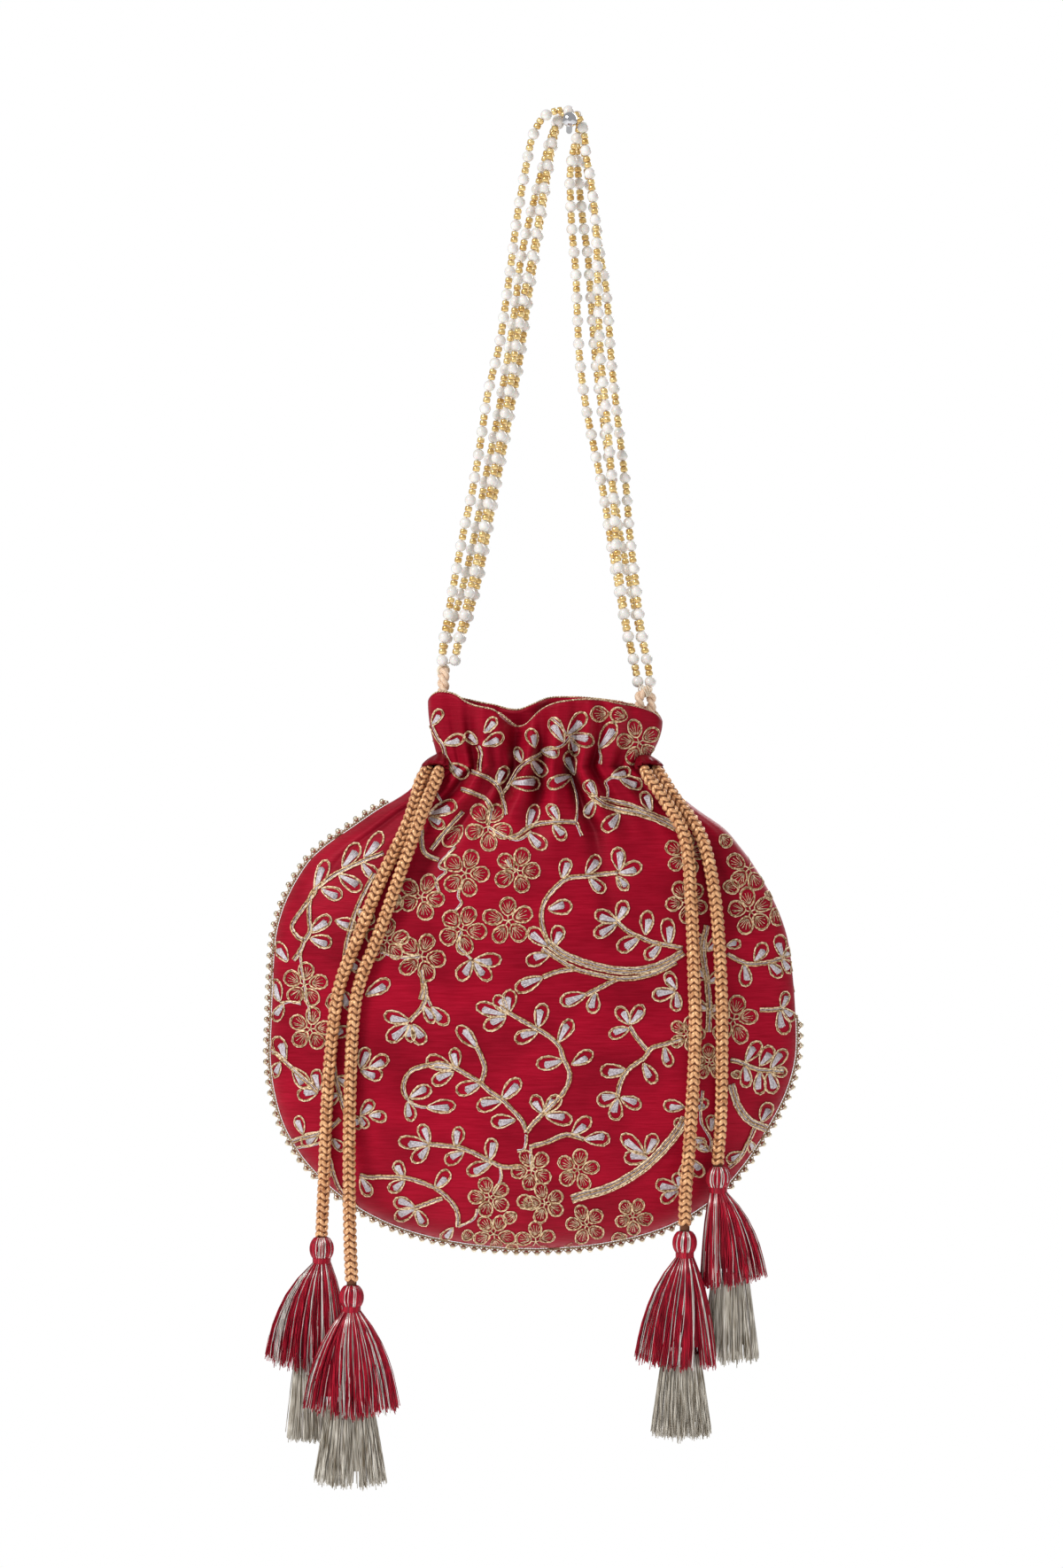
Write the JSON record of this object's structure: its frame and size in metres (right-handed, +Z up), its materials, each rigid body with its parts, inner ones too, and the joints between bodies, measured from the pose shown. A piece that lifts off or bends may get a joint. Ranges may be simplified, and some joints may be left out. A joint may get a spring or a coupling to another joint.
{
  "type": "reticule on a display pin",
  "caption": "Soft drawstring pouch with a gathered, ruffled mouth, a beaded handle over a ball-headed pin, braided drawstrings and tiered tassels.",
  "frame": {"origin": "on the display pin's axis, in the middle of the bead strings that hang over it", "axes": "+Z up, -Y towards the front of the pouch, +X to the right as seen from the front"},
  "size_m": [0.2219, 0.0591, 0.5578],
  "materials": {
    "silk": "crimson satin-weave silk, embroidered",
    "metal_balls": "aged silver-gold ball trim",
    "chrome_pin": "polished",
    "satin_cord": "peach satin",
    "pearl": "pearl, with clear gold seed beads between",
    "braid": "satin braid, peach gold",
    "tassel_red": "crimson yarn with silver threads",
    "tassel_taupe": "taupe yarn with silver threads"
  },
  "bodies": {
    "root": {"pouch": "silk", "edge_trim": "metal_balls", "hang_pin": "chrome_pin", "handle_loop_left": "satin_cord", "handle_loop_right": "satin_cord", "handle_strand_1": "pearl", "handle_strand_2": "pearl", "handle_strand_3": "pearl", "handle_strand_4": "pearl", "drawstring_left_outer": "braid", "drawstring_left_inner": "braid", "drawstring_right_inner": "braid", "drawstring_right_outer": "braid", "tassel_left_outer": "tassel_red", "tassel_left_inner": "tassel_red", "tassel_right_inner": "tassel_red", "tassel_right_outer": "tassel_red", "tassel_skirt_left_outer": "tassel_taupe", "tassel_skirt_left_inner": "tassel_taupe", "tassel_skirt_right_inner": "tassel_taupe", "tassel_skirt_right_outer": "tassel_taupe"}
  },
  "joints": []
}
